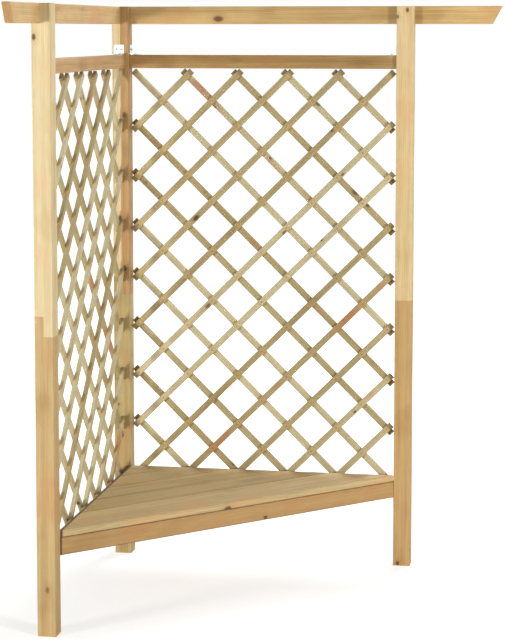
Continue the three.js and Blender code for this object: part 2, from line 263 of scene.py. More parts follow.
def new_group(name, inputs, outputs, tree_kind="ShaderNodeTree"):
    """An empty node group, with its inputs and outputs given as name and kind."""
    tree = bpy.data.node_groups.new(name, tree_kind)
    for direction, sockets in (("INPUT", inputs), ("OUTPUT", outputs)):
        for socket_name, kind in sockets.items():
            tree.interface.new_socket(
                socket_name, in_out=direction, socket_type=f"NodeSocket{kind}")
    given = tree.nodes.new("NodeGroupInput").outputs
    results = tree.nodes.new("NodeGroupOutput").inputs
    return Graph(tree), given, results


def knot_rings(graph, reach, core):
    """The rings in a knot's core, from how many radii a point is from its middle."""
    rings_per_radius = 2.5
    return graph.times(core, graph.math("PINGPONG", graph.times(reach, rings_per_radius), 1.0))


def knot_group():
    """One knot: a dark core with rings, and the swelling of the grain around it."""
    ripple_rate, ripple_depth = 90.0, 0.5
    core_edge, swell_edge = (0.7, 1.25), (0.8, 3.5)
    inputs = {
        "Vector": "Vector", "Centre": "Vector", "Shape": "Vector", "Radius": "Float",
        "Before": "Vector",
    }
    graph, given, results = new_group("knot", inputs, {"After": "Vector"})
    offset = graph.vector("SUBTRACT", given["Vector"], given["Centre"])
    offset = graph.vector("MULTIPLY", offset, given["Shape"])
    reach = graph.over(graph.vector("LENGTH", offset), given["Radius"])
    ripple = graph.minus(graph.noise(given["Vector"], ripple_rate, detail=1.0), 0.5)
    reach = graph.plus(reach, graph.times(ripple, ripple_depth))
    core = graph.fall(reach, *core_edge)
    swell = graph.fall(reach, *swell_edge)
    before = graph.split(given["Before"])
    after = graph.join(
        graph.math("MAXIMUM", before["X"], core),
        graph.math("MAXIMUM", before["Y"], swell),
        graph.math("MAXIMUM", before["Z"], knot_rings(graph, reach, core)),
    )
    graph.feed(results["After"], after)
    return graph.tree


def stray_knot_group():
    """Small knots scattered by chance through a timber."""
    shape, least_share = (0.6, 1.0, 0.4), 0.35
    core_edge, swell_edge = (0.7, 1.3), (0.8, 3.0)
    inputs = {
        "Vector": "Vector", "Seed": "Float", "Cells": "Vector", "Radius": "Float", "Share": "Float"}
    graph, given, results = new_group("stray_knots", inputs, {"Knots": "Vector"})
    cells = graph.vector("MULTIPLY", given["Vector"], given["Cells"])
    nearest = graph.put(
        "ShaderNodeTexVoronoi", {"Vector": cells, "W": given["Seed"], "Scale": 1.0},
        voronoi_dimensions="4D").outputs
    offset = graph.vector("SUBTRACT", cells, nearest["Position"])
    offset = graph.vector("DIVIDE", offset, given["Cells"])
    offset = graph.vector("MULTIPLY", offset, shape)
    chances = graph.split(nearest["Color"])
    radius = graph.times(given["Radius"], graph.plus(chances["Y"], least_share))
    reach = graph.over(graph.vector("LENGTH", offset), radius)
    shown = graph.math("LESS_THAN", chances["X"], given["Share"])
    core = graph.times(graph.fall(reach, *core_edge), shown)
    swell = graph.times(graph.fall(reach, *swell_edge), shown)
    graph.feed(results["Knots"], graph.join(core, swell, knot_rings(graph, reach, core)))
    return graph.tree


def figure_group():
    """The figure of sawn softwood in a piece's own directions: X runs along the grain."""
    slow_rate, fibre_rate = (1.3, 7.0, 7.0), (18.0, 620.0, 620.0)
    streak_rate, patch_rate = (1.6, 75.0, 75.0), (6.0, 11.0, 11.0)
    sway_rate, sway_salt, patch_salt, swell_turns = 0.9, 7.3, 3.1, 1.8
    ring_rise, ring_drop = (0.35, 0.9), (0.92, 1.0)
    inputs = {
        "Vector": "Vector", "Seed": "Float", "Pith": "Vector", "Ring Gap": "Float",
        "Wander": "Float", "Swell": "Float",
    }
    outputs = dict.fromkeys(FIGURE_LEVELS, "Float")
    graph, given, results = new_group("softwood_figure", inputs, outputs)
    point, seed, wander = given["Vector"], given["Seed"], given["Wander"]
    slow = graph.vector("MULTIPLY", point, slow_rate)
    drift = graph.minus(graph.noise(slow, 1.0, seed), 0.5)
    sway = graph.noise(slow, sway_rate, graph.plus(seed, sway_salt), detail=1.0)
    sway = graph.minus(sway, 0.5)
    shift = graph.join(0.0, graph.times(drift, wander), graph.times(sway, wander))
    from_pith = graph.vector("ADD", graph.vector("SUBTRACT", point, given["Pith"]), shift)
    across = graph.vector("MULTIPLY", from_pith, (0.0, 1.0, 1.0))
    turns = graph.over(graph.vector("LENGTH", across), given["Ring Gap"])
    turns = graph.plus(turns, graph.times(given["Swell"], swell_turns))
    phase = graph.math("FRACT", turns)
    rings = graph.times(graph.fade(phase, *ring_rise), graph.fall(phase, *ring_drop))
    fibre = graph.grain(point, fibre_rate, seed, detail=3.0)
    streak = graph.grain(point, streak_rate, seed, detail=3.0, roughness=0.6)
    patch = graph.grain(point, patch_rate, graph.plus(seed, patch_salt))
    for name, value in zip(outputs, (rings, fibre, streak, patch)):
        graph.feed(results[name], value)
    return graph.tree


def arris_group():
    """How near a point is to the long edges of a timber of the given half size, ragged by chips:
    the mask for pale wear, and for painted shade on the seat boards and apron.
    """
    chip_rate = (45.0, 160.0, 160.0)
    inputs = {"Vector": "Vector", "Half Size": "Vector", "Reach": "Float", "Seed": "Float"}
    graph, given, results = new_group("arris_wear", inputs, {"Wear": "Float"})
    point = given["Vector"]
    inset = graph.vector("SUBTRACT", given["Half Size"], graph.vector("ABSOLUTE", point))
    sides = graph.split(inset)
    from_edge = graph.math("MAXIMUM", sides["Y"], sides["Z"])
    chips = graph.grain(point, chip_rate, given["Seed"])
    reach = graph.times(given["Reach"], graph.plus(chips, 0.5))
    edge_nearness = graph.math("SUBTRACT", 1.0, graph.over(from_edge, reach), clamp=True)
    graph.feed(results["Wear"], edge_nearness)
    return graph.tree


def cut_group():
    """How close a point is to a board's cut ends: square at slope 0, mitred at slope 1."""
    full_to_none = (0.4, 1.0)
    inputs = {"Vector": "Vector", "Half Length": "Float", "Slope": "Float", "Reach": "Float"}
    graph, given, results = new_group("cut_ends", inputs, {"Edge": "Float"})
    place, slope = graph.split(given["Vector"]), given["Slope"]
    inset = graph.minus(given["Half Length"], graph.math("ABSOLUTE", place["X"]))
    inset = graph.minus(inset, graph.times(place["Y"], slope))
    slant = graph.math("SQRT", graph.plus(graph.times(slope, slope), 1.0))
    reached = graph.over(graph.over(inset, slant), given["Reach"])
    graph.feed(results["Edge"], graph.fall(reached, *full_to_none))
    return graph.tree


def heart_group():
    """Where the darker heart of the log shows on one side of a wavy line along the timber."""
    wave_rate, wave_height, swell_push, blur = (4.0, 0.0, 12.0), 0.012, 0.006, 0.0015
    inputs = {"Vector": "Vector", "Seed": "Float", "Swell": "Float"}
    graph, given, results = new_group("heartwood", inputs, {"Heart": "Float"})
    waves = graph.grain(given["Vector"], wave_rate, given["Seed"], detail=3.0)
    waves = graph.minus(waves, 0.5)
    line = graph.plus(graph.times(waves, wave_height), graph.times(given["Swell"], swell_push))
    beyond = graph.minus(graph.split(given["Vector"])["Y"], line)
    graph.feed(results["Heart"], graph.fall(beyond, -blur, blur))
    return graph.tree


def timber_group():
    """Mixes figure, knots, end grain, worn edges and painted edge shade into colour, roughness and
    height.
    """
    ring_depth, streak_depth, dull_depth = 0.28, 0.5, 0.45
    halo_depth, core_depth, core_ring_depth = 0.32, 0.78, 0.2
    end_depth, end_green, end_blue = 0.85, 0.92, 0.82
    end_roughness, polish_depth = 0.12, 0.15
    streak_levels, dull_levels, warm_levels = (0.38, 0.68), (0.3, 0.5), (0.48, 0.68)
    fibre_levels, fibre_tones, end_tones = (0.3, 0.7), (0.93, 1.05), (0.74, 0.5)
    rough_levels, rough_range = (0.2, 0.8), (0.58, 0.8)
    fibre_height, ring_height, knot_sink = 0.5, 0.5, 0.4
    colours = ("Early Wood", "Late Wood", "Warm", "Knot Wood", "Edge Wood")
    levels = (*FIGURE_LEVELS, "End", "Edge", "Contrast", "Warmth", "Polish")
    inputs = {**dict.fromkeys(colours, "Color"), **dict.fromkeys(levels, "Float")}
    outputs = {"Colour": "Color", "Roughness": "Float", "Height": "Float"}
    graph, given, results = new_group("timber_finish", {**inputs, "Knots": "Vector"}, outputs)
    knots, contrast = graph.split(given["Knots"]), given["Contrast"]
    rings = graph.times(given["Rings"], graph.times(contrast, ring_depth))
    streaks = graph.fade(given["Streak"], *streak_levels)
    streaks = graph.times(streaks, graph.times(contrast, streak_depth))
    dull = graph.times(graph.fade(given["Patch"], *dull_levels, dull_depth, 0.0), contrast)
    late_share = graph.math("ADD", graph.plus(rings, streaks), dull, clamp=True)
    colour = graph.blend(late_share, given["Early Wood"], given["Late Wood"])
    warm_share = graph.times(graph.fade(given["Patch"], *warm_levels), given["Warmth"])
    colour = graph.blend(warm_share, colour, given["Warm"])
    fibre = graph.fade(given["Fibre"], *fibre_levels, *fibre_tones)
    colour = graph.blend(1.0, colour, graph.join(fibre, fibre, fibre), "MULTIPLY")
    colour = graph.blend(graph.times(knots["Y"], halo_depth), colour, given["Late Wood"])
    core = graph.plus(core_depth, graph.times(knots["Z"], core_ring_depth))
    colour = graph.blend(graph.times(knots["X"], core), colour, given["Knot Wood"])
    end_tone = graph.fade(given["Rings"], 0.0, 1.0, *end_tones)
    sawn = graph.join(end_tone, graph.times(end_tone, end_green), graph.times(end_tone, end_blue))
    end_colour = graph.blend(1.0, colour, sawn, "MULTIPLY")
    colour = graph.blend(graph.times(given["End"], end_depth), colour, end_colour)
    colour = graph.blend(given["Edge"], colour, given["Edge Wood"])
    rough = graph.fade(given["Fibre"], *rough_levels, *rough_range)
    rough = graph.plus(rough, graph.times(given["End"], end_roughness))
    rough = graph.math("SUBTRACT", rough, graph.times(given["Polish"], polish_depth), clamp=True)
    height = graph.times(given["Fibre"], fibre_height)
    height = graph.plus(height, graph.times(given["Rings"], ring_height))
    height = graph.minus(height, graph.times(knots["X"], knot_sink))
    for name, value in zip(outputs, (colour, rough, height)):
        graph.feed(results[name], value)
    return graph.tree


KNOT = knot_group()
STRAY_KNOTS = stray_knot_group()
FIGURE = figure_group()
ARRIS = arris_group()
CUT = cut_group()
HEART = heart_group()
TIMBER = timber_group()


def new_material(name):
    material = bpy.data.materials.new(name)
    material.use_nodes = True
    material.node_tree.nodes.clear()
    return material, Graph(material.node_tree)


def finish_surface(graph, colour, roughness, height, relief, metallic=0.0, specular=0.35):
    bump = graph.make(
        "ShaderNodeBump", {"Height": height, "Strength": BUMP_STRENGTH, "Distance": relief})
    surface = graph.make(
        "ShaderNodeBsdfPrincipled",
        {
            "Base Color": colour, "Roughness": roughness, "Metallic": metallic,
            "Specular IOR Level": specular, "Normal": bump,
        },
    )
    graph.put("ShaderNodeOutputMaterial", {"Surface": surface})


def timber_material(name, tone, middle, half_size, ways, seed, knots=(), contrast=1.0, warmth=0.6,
                    strays=0.3, heart_tone=None, soiled=0.0, cut_half=None, cut_slope=1.0):
    """Softwood for one timber: its ways are along the grain, across it and out of its face.

    Each knot is given as its place along and across from the timber's middle and its radius;
    one that shows on one face only has its place through the thickness too. Edges are worn
    pale, or darkened with painted shade of the narrow gaps between parts; so is the left one
    of the ends a board is cut to.
    """
    pith, ring_gap, wander, relief = (0.0, 0.05, 0.07), 0.0045, 0.05, 0.0004
    stray_cells, stray_radius, knot_stretch = (2.6, 9.0, 9.0), 0.009, 0.7
    arris_reach, pale_wear, polish = 0.005, 0.3, 0.3
    cut_shift, cut_reach, cut_depth, end_facing = 0.01, 0.008, 0.95, (0.55, 0.85)
    material, graph = new_material(name)
    turn = Matrix(ways)
    angles = turn.to_euler("XYZ")
    source = graph.put("ShaderNodeTexCoord").outputs
    point = graph.make(
        "ShaderNodeMapping",
        {"Vector": source["Object"], "Location": -(turn @ middle), "Rotation": angles})
    facing = graph.make("ShaderNodeMapping", {"Vector": source["Normal"], "Rotation": angles})
    end = graph.fade(graph.math("ABSOLUTE", graph.split(facing)["X"]), *end_facing)
    field = graph.place(
        STRAY_KNOTS, vector=point, seed=seed, cells=stray_cells, radius=stray_radius,
        share=strays)["Knots"]
    for along, sideways, radius, *through in knots:
        centre = (along, sideways, through[0] if through else 0.0)
        shape = (knot_stretch, 1.0, 1.0 if through else 0.0)
        field = graph.place(
            KNOT, vector=point, centre=centre, shape=shape, radius=radius, before=field)["After"]
    swell = graph.split(field)["Y"]
    figure = graph.place(
        FIGURE, vector=point, seed=seed, pith=pith, ring_gap=ring_gap, wander=wander, swell=swell)
    edge_nearness = graph.place(
        ARRIS, vector=point, half_size=half_size, reach=arris_reach, seed=seed)["Wear"]
    # Most timbers have pale worn edges; seat boards and apron get painted shade of their gaps there
    edge = graph.times(edge_nearness, soiled or pale_wear)
    # The cut ends take painted shade too, for the gaps against the trellis and the posts
    if cut_half:
        shifted = graph.vector("SUBTRACT", point, (cut_shift, 0.0, 0.0))
        cut = graph.place(
            CUT, vector=shifted, half_length=cut_half + cut_shift, slope=cut_slope,
            reach=cut_reach)["Edge"]
        edge = graph.math("MAXIMUM", edge, graph.times(cut, cut_depth))
    early, late, warm, knot_wood = (linear(colour) for colour in TONES[tone])
    if heart_tone:
        heart = graph.place(HEART, vector=point, seed=seed, swell=swell)["Heart"]
        early, late, warm = (
            graph.blend(heart, outer, linear(inner))
            for outer, inner in zip((early, late, warm), TONES[heart_tone]))
    finish = graph.place(
        TIMBER, early_wood=early, late_wood=late, warm=warm, knot_wood=knot_wood, end=end,
        edge=edge, edge_wood=linear(GAP_SHADE_TONE) if soiled else early, contrast=contrast,
        warmth=warmth, polish=polish, knots=field,
        **{level: figure[level] for level in FIGURE_LEVELS})
    finish_surface(graph, finish["Colour"], finish["Roughness"], finish["Height"], relief)
    return material


def slat_material(lap_spacing):
    """Sawn slats, each with its own tone, from the places and tones stored on the mesh."""
    pith, ring_gap, wander, relief = (0.0, 0.02, 0.04), 0.0035, 0.04, 0.0003
    stray_cells, stray_radius, stray_share = (3.4, 20.0, 20.0), 0.007, 0.4
    arris_reach, pale_wear, contrast = 0.0025, 0.3, 0.7
    lap_tint_depth, end_dark_depth, seeds_per_tone, red_turns = 0.3, 0.6, 83.0, 7.0
    early_tones, late_tones, red_tones = (0.15, 0.85), (0.1, 0.9), (0.72, 0.9)
    end_reach, lap_reach, end_dark_reach = 0.0006, (0.008, 0.022), (0.006, 0.022)
    material, graph = new_material("slat_timber")
    point = graph.put("ShaderNodeAttribute", attribute_name="grain_place").outputs["Vector"]
    tone = graph.put("ShaderNodeAttribute", attribute_name="slat_tone").outputs["Fac"]
    half = graph.put("ShaderNodeAttribute", attribute_name="slat_half").outputs["Fac"]
    seed = graph.times(tone, seeds_per_tone)
    from_end = graph.minus(half, graph.math("ABSOLUTE", graph.split(point)["X"]))
    end = graph.fall(from_end, 0.0, end_reach)
    laps = graph.over(graph.minus(from_end, SLAT_TAIL), lap_spacing)
    from_lap = graph.times(graph.math("PINGPONG", laps, 0.5), lap_spacing)
    lapped = graph.fall(from_lap, *lap_reach)
    knots = graph.place(
        STRAY_KNOTS, vector=point, seed=seed, cells=stray_cells, radius=stray_radius,
        share=stray_share)["Knots"]
    figure = graph.place(
        FIGURE, vector=point, seed=seed, pith=pith, ring_gap=ring_gap, wander=wander,
        swell=graph.split(knots)["Y"])
    half_size = graph.join(half, SLAT_WIDTH / 2, SLAT_THICKNESS / 2)
    edge_nearness = graph.place(
        ARRIS, vector=point, half_size=half_size, reach=arris_reach, seed=seed)["Wear"]
    early = graph.blend(graph.fade(tone, *early_tones), *map(linear, SLAT_EARLY))
    late = graph.blend(graph.fade(tone, *late_tones), *map(linear, SLAT_LATE))
    reddish = graph.fade(graph.math("FRACT", graph.times(tone, red_turns)), *red_tones)
    finish = graph.place(
        TIMBER, early_wood=early, late_wood=late, warm=linear(SLAT_WARM),
        knot_wood=linear(SLAT_KNOT), end=end, edge=graph.times(edge_nearness, pale_wear),
        edge_wood=early, contrast=contrast, warmth=reddish, polish=0.0, knots=knots,
        **{level: figure[level] for level in FIGURE_LEVELS})
    # Browner around each crossing
    lap_tint = graph.times(lapped, lap_tint_depth)
    colour = graph.blend(lap_tint, finish["Colour"], linear(SLAT_LAP_TINT))
    # Darker towards each slat's ends
    end_darkening = graph.fade(from_end, *end_dark_reach, end_dark_depth, 0.0)
    colour = graph.blend(end_darkening, colour, linear(SLAT_END_DARK))
    finish_surface(graph, colour, finish["Roughness"], finish["Height"], relief)
    return material


def metal_material(name, colour, dark, roughness):
    """Plated steel with a faint spangle and duller patches."""
    spangle_rate, cloud_rate, cloud_levels = 420.0, 60.0, (0.4, 0.7)
    spangle_depth, cloud_depth, cloud_roughness, relief = 0.5, 0.5, 0.25, 0.0002
    material, graph = new_material(name)
    place = graph.put("ShaderNodeTexCoord").outputs["Object"]
    spangle = graph.make("ShaderNodeTexVoronoi", {"Vector": place, "Scale": spangle_rate})
    cloud = graph.noise(place, cloud_rate, detail=3.0)
    shade = graph.fade(cloud, *cloud_levels, 0.0, cloud_depth)
    shade = graph.plus(graph.times(spangle, spangle_depth), shade)
    tint = graph.blend(shade, linear(colour), linear(dark))
    rough = graph.plus(graph.times(cloud, cloud_roughness), roughness)
    finish_surface(graph, tint, rough, spangle, relief, metallic=1.0, specular=0.5)
    return material


ZINC = metal_material("bright_zinc", "#f2f4f4", "#c9cdcf", 0.18)
SCREW_STEEL = metal_material("screw_steel", "#aaa8a0", "#74716a", 0.32)
PIN_STEEL = metal_material("pin_steel", "#b39c70", "#7a6642", 0.5)


def spot(side, along, inward, height):
    """A place on one side of the arbour, measured from the corner post's centre line."""
    along_way, inward_way = SIDES[side]
    return CORNER + along_way * along + inward_way * inward + UP * height


def on_front(along, inward, height):
    """A place measured from the middle of the seat's front line, in towards the corner."""
    middle = CORNER + (RIGHTWARD - BACKWARD) * (POST_SPACING / 2)
    return middle + FRONT_EDGE * along + INTO_CORNER * inward + UP * height


def dress(node, material):
    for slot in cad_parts[node].material_slots:
        slot.material = material


def dress_timber(node, tone, grain, faceway, seed, middle=None, half_size=None, **figure):
    """Gives one packed timber its own softwood, centred on its box or on a given middle."""
    low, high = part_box(node)
    ways = (grain, faceway.cross(grain), faceway)
    if middle is None:
        middle = (low + high) / 2
        half_size = [sum(abs(way[i]) * (high - low)[i] for i in range(3)) / 2 for way in ways]
    dress(node, timber_material(f"{node}_timber", tone, middle, half_size, ways, seed, **figure))


def dress_posts():
    front, face = -BACKWARD, POST_SIDE / 2
    dress_timber(
        "left_post_upper", "pale", UP, front, 1.7, contrast=0.7, knots=[(0.409, 0.022, 0.0072)])
    dress_timber("left_post_lower", "straw", UP, front, 4.2, contrast=0.8)
    dress_timber(
        "right_post_upper", "cream", UP, front, 6.4, contrast=0.8,
        knots=[(0.498, -0.007, 0.006), (0.475, 0.0265, 0.005)])
    dress_timber(
        "right_post_lower", "tan", UP, front, 9.1, contrast=0.8, knots=[(-0.496, 0.013, 0.006)])
    dress_timber(
        "corner_post_upper", "pale", UP, front, 12.3, heart_tone="heart",
        knots=[
            (0.129, -0.014, 0.008), (-0.077, -0.004, 0.007, face),
            (-0.238, 0.004, 0.007), (-0.417, -0.012, 0.008, face)])
    dress_timber(
        "corner_post_lower", "olive", UP, front, 15.8,
        knots=[
            (0.33, 0.006, 0.006, face), (0.25, 0.018, 0.007), (0.166, 0.001, 0.006, face),
            (0.042, 0.017, 0.006, face), (-0.07, 0.002, 0.007)])


def dress_beams_and_rails():
    for side, beam_tone, rail_tone, seeds in (
            ("right", "beam", "rail", (18.2, 21.5, 24.9)),
            ("left", "honey", "fair rail", (28.4, 31.1, 35.6))):
        along, inward = SIDES[side]
        dress_timber(f"{side}_top_beam", beam_tone, along, inward, seeds[0])
        dress_timber(f"{side}_upper_rail", rail_tone, along, inward, seeds[1])
        dress_timber(f"{side}_seat_rail", "rail", along, inward, seeds[2])


def dress_seat():
    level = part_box("seat_board_1")[1].z - BOARD_THICKNESS / 2
    # The board edges and the left cut ends are darkened with painted shade of the gaps
    dress_timber(
        "seat_board_1", "front", FRONT_EDGE, UP, 38.3, on_front(0, FRONT_BOARD_WIDTH / 2, level),
        (FRONT_HALF_LENGTH, FRONT_BOARD_WIDTH / 2, BOARD_THICKNESS / 2), contrast=0.9, soiled=0.2,
        strays=0.0, cut_half=SEAT_DEPTH - FRONT_BOARD_WIDTH / 2,
        knots=[(-0.035, -FRONT_BOARD_WIDTH / 2, 0.009, -0.009)])
    for board in range(REAR_BOARD_COUNT):
        inward = FRONT_BOARD_WIDTH + REAR_BOARD_WIDTH * (board + 0.5)
        half_length = SEAT_DEPTH - inward + REAR_BOARD_WIDTH / 2
        dress_timber(
            f"seat_board_{board + 2}", "seat", FRONT_EDGE, UP, 41.6 + 3.7 * board,
            on_front(0, inward, level), (half_length, REAR_BOARD_WIDTH / 2, BOARD_THICKNESS / 2),
            warmth=0.5, soiled=0.4, cut_half=SEAT_DEPTH - inward)


def dress_apron():
    low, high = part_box("front_apron")
    # The apron's edges and ends are darkened with painted shade of the gaps at the seat and posts
    dress_timber(
        "front_apron", "apron", FRONT_EDGE, -INTO_CORNER, 57.9,
        on_front(0, APRON_THICKNESS / 2, (low.z + high.z) / 2),
        (FRONT_HALF_LENGTH, (high.z - low.z) / 2, APRON_THICKNESS / 2), contrast=0.55,
        soiled=0.65, strays=0.0, cut_half=CLEAR_SPAN / math.sqrt(2), cut_slope=0.0,
        knots=[(0.118, -0.02, 0.0055)])


def dress_bearers():
    for side, seed in (("right", 66.2), ("left", 65.2)):
        dress_timber(f"{side}_seat_bearer", "rail", *SIDES[side], seed)
    low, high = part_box("seat_centre_bearer")
    middle = on_front(0, CENTRE_BEARER_MIDDLE, (low.z + high.z) / 2)
    dress_timber(
        "seat_centre_bearer", "rail", INTO_CORNER, UP, 71.4, middle,
        (FRONT_HALF_LENGTH, BEARER_WIDTH / 2, BEARER_HEIGHT / 2))


def dress_ironwork():
    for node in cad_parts:
        if "bracket" in node:
            dress(node, ZINC)
        elif "screw" in node:
            dress(node, SCREW_STEEL)


def new_rule(name, inputs):
    """An empty geometry tree with named inputs."""
    return new_group(name, inputs, {"Geometry": "Geometry"}, "GeometryNodeTree")


def chance(graph, low, high, seed, salt):
    """A different number for each slat or head, always the same for one seed and salt."""
    inputs = {2: low, 3: high, "Seed": graph.plus(seed, salt)}
    return graph.put("FunctionNodeRandomValue", inputs, data_type="FLOAT").outputs[1]


def store(graph, geometry, name, value, kind="FLOAT", domain="POINT"):
    inputs = {"Geometry": geometry, "Name": name, "Value": value}
    return graph.make("GeometryNodeStoreNamedAttribute", inputs, data_type=kind, domain=domain)


def stored(graph, name, kind):
    return graph.make("GeometryNodeInputNamedAttribute", {"Name": name}, data_type=kind)


def head_shape(graph, given):
    """The head given to a rule, as one instance."""
    inputs = {"Object": given["Head"], "As Instance": True}
    return graph.put("GeometryNodeObjectInfo", inputs).outputs["Geometry"]


def finish_rule(graph, given, results, geometry):
    """Makes a rule's result real and gives it its finish."""
    whole = graph.make("GeometryNodeRealizeInstances", {"Geometry": geometry})
    inputs = {"Geometry": whole, "Material": given["Material"]}
    graph.feed(results["Geometry"], graph.make("GeometryNodeSetMaterial", inputs))
    return graph.tree


PANEL_INPUTS = {
    "Columns": "Int", "Rows": "Int", "Cell Width": "Float", "Cell Height": "Float", "Seed": "Int",
    "Place": "Vector", "Turn": "Float", "Material": "Material",
}


def stand_panel(graph, given, geometry):
    """Turns a panel to its side of the arbour and stands it in its place."""
    turn = graph.join(0.0, 0.0, given["Turn"])
    inputs = {"Geometry": geometry, "Translation": given["Place"], "Rotation": turn}
    return graph.make("GeometryNodeTransform", inputs)


def slat_bar(graph, given):
    """One slat of unit length with eased arrises, lying along X with its face to Y."""
    outline = graph.make(
        "GeometryNodeCurvePrimitiveQuadrilateral",
        {"Width": given["Slat Thickness"], "Height": given["Slat Width"]})
    eased = graph.make(
        "GeometryNodeFilletCurve", {"Curve": outline, "Radius": given["Arris"], "Count": 2},
        mode="POLY")
    path = graph.make("GeometryNodeCurvePrimitiveLine", {"Start": (0, 0, -0.5), "End": (0, 0, 0.5)})
    bar = graph.make(
        "GeometryNodeCurveToMesh", {"Curve": path, "Profile Curve": eased, "Fill Caps": True})
    for turn in ((0, math.pi / 2, 0), (math.pi / 2, 0, 0)):
        bar = graph.make("GeometryNodeTransform", {"Geometry": bar, "Rotation": turn})
    place = graph.make("GeometryNodeInputPosition")
    return store(graph, bar, "bar_place", place, "FLOAT_VECTOR")


def trellis_rule():
    """The slats of one panel: one layer rising to the right in front, one falling behind it."""
    slip, shortfall, tilt = 0.0015, 0.005, 0.002
    slip_salt, length_salt, tilt_salt, tone_salt = 11, 23, 37, 5
    sizes = ("Slat Width", "Slat Thickness", "Slat Tail", "Lap", "Arris")
    graph, given, results = new_rule(
        "trellis_slats", {**PANEL_INPUTS, **dict.fromkeys(sizes, "Float")})
    bar = slat_bar(graph, given)
    both = graph.put("GeometryNodeJoinGeometry")
    line = graph.plus(graph.make("GeometryNodeInputIndex"), 1)
    count = graph.minus(graph.plus(given["Rows"], given["Columns"]), 1)
    first_column = graph.math("MAXIMUM", graph.minus(line, given["Rows"]), 0)
    last_column = graph.math("MINIMUM", line, given["Columns"])
    layer_offset = graph.over(graph.minus(given["Slat Thickness"], given["Lap"]), 2)
    for layer_salt, mirrored, layer in ((0, 1, -1), (50, -1, 1)):
        depth = graph.times(layer_offset, layer)
        seed = graph.plus(given["Seed"], layer_salt)
        ends = []
        for column in (first_column, last_column):
            row = graph.minus(line, column)
            sideways = graph.minus(column, graph.over(given["Columns"], 2))
            upwards = graph.minus(graph.over(given["Rows"], 2), row)
            x = graph.times(graph.times(sideways, given["Cell Width"]), mirrored)
            ends.append(graph.join(x, depth, graph.times(upwards, given["Cell Height"])))
        way = graph.vector("SUBTRACT", ends[1], ends[0])
        middle = graph.scaled(graph.vector("ADD", ends[0], ends[1]), 0.5)
        slipped = graph.scaled(
            graph.vector("NORMALIZE", way), chance(graph, -slip, slip, seed, slip_salt))
        middle = graph.vector("ADD", middle, slipped)
        length = graph.plus(graph.vector("LENGTH", way), graph.times(given["Slat Tail"], 2))
        length = graph.minus(length, chance(graph, 0.0, shortfall, seed, length_salt))
        lean = graph.split(way)
        angle = graph.math("ARCTAN2", lean["Z"], lean["X"])
        angle = graph.plus(angle, chance(graph, -tilt, tilt, seed, tilt_salt))
        points = graph.make("GeometryNodePoints", {"Count": count, "Position": middle})
        placed = graph.make(
            "GeometryNodeInstanceOnPoints",
            {
                "Points": points, "Instance": bar,
                "Rotation": graph.join(0.0, graph.times(angle, -1), 0.0),
                "Scale": graph.join(length, 1.0, 1.0),
            },
        )
        tone = chance(graph, 0.0, 1.0, seed, tone_salt)
        placed = store(graph, placed, "slat_tone", tone, domain="INSTANCE")
        placed = store(graph, placed, "slat_half", graph.over(length, 2), domain="INSTANCE")
        graph.feed(both.inputs[0], placed)
    whole = graph.make("GeometryNodeRealizeInstances", {"Geometry": both.outputs[0]})
    bar_place = graph.split(stored(graph, "bar_place", "FLOAT_VECTOR"))
    full_length = graph.times(stored(graph, "slat_half", "FLOAT"), 2)
    along = graph.times(bar_place["X"], full_length)
    place = graph.join(along, bar_place["Z"], bar_place["Y"])
    marked = store(graph, whole, "grain_place", place, "FLOAT_VECTOR")
    return finish_rule(graph, given, results, stand_panel(graph, given, marked))


def pin_rule():
    """The pins of one panel: a head on each face wherever two slats cross."""
    spin_salt, corner_margin = 60, 0.25
    graph, given, results = new_rule(
        "trellis_pins", {**PANEL_INPUTS, "Face Depth": "Float", "Head": "Object"})
    head = head_shape(graph, given)
    both = graph.put("GeometryNodeJoinGeometry")
    across = graph.plus(graph.times(given["Columns"], 2), 1)
    down = graph.plus(graph.times(given["Rows"], 2), 1)
    index = graph.make("GeometryNodeInputIndex")
    row = graph.math("FLOOR", graph.over(index, across))
    column = graph.minus(index, graph.times(row, across))
    sideways = graph.over(graph.minus(column, given["Columns"]), 2)
    upwards = graph.over(graph.minus(given["Rows"], row), 2)
    step = graph.plus(graph.math("ABSOLUTE", sideways), graph.math("ABSOLUTE", upwards))
    corner_step = graph.over(graph.plus(given["Columns"], given["Rows"]), 2)
    at_corner = graph.math("GREATER_THAN", step, graph.minus(corner_step, corner_margin))
    uncrossed = graph.math("MODULO", graph.plus(row, column), 2)
    spare = graph.math("MAXIMUM", at_corner, uncrossed)
    for layer in (-1, 1):
        place = graph.join(
            graph.times(sideways, given["Cell Width"]), graph.times(given["Face Depth"], layer),
            graph.times(upwards, given["Cell Height"]))
        points = graph.make(
            "GeometryNodePoints", {"Count": graph.times(across, down), "Position": place})
        crossings = graph.make(
            "GeometryNodeDeleteGeometry", {"Geometry": points, "Selection": spare}, domain="POINT")
        spin = chance(graph, 0.0, math.tau, given["Seed"], layer + spin_salt)
        turn = graph.join(-layer * math.pi / 2, spin, 0.0)
        placed = graph.make(
            "GeometryNodeInstanceOnPoints",
            {"Points": crossings, "Instance": head, "Rotation": turn})
        graph.feed(both.inputs[0], placed)
    return finish_rule(graph, given, results, stand_panel(graph, given, both.outputs[0]))


def screw_rule():
    """A screw head on every marked point, facing its own way, its cross turned by chance."""
    spin_salt = 3
    inputs = {"Marks": "Geometry", "Head": "Object", "Seed": "Int", "Material": "Material"}
    graph, given, results = new_rule("screw_heads", inputs)
    way = stored(graph, "way", "FLOAT_VECTOR")
    facing = graph.make("FunctionNodeAlignRotationToVector", {"Vector": way}, axis="Z")
    angle = chance(graph, 0.0, math.tau, given["Seed"], spin_salt)
    spin = graph.make("FunctionNodeAxisAngleToRotation", {"Axis": (0, 0, 1), "Angle": angle})
    turned = graph.make(
        "FunctionNodeRotateRotation", {"Rotation": facing, "Rotate By": spin},
        rotation_space="LOCAL")
    placed = graph.make(
        "GeometryNodeInstanceOnPoints",
        {"Points": given["Marks"], "Instance": head_shape(graph, given), "Rotation": turned})
    return finish_rule(graph, given, results, placed)


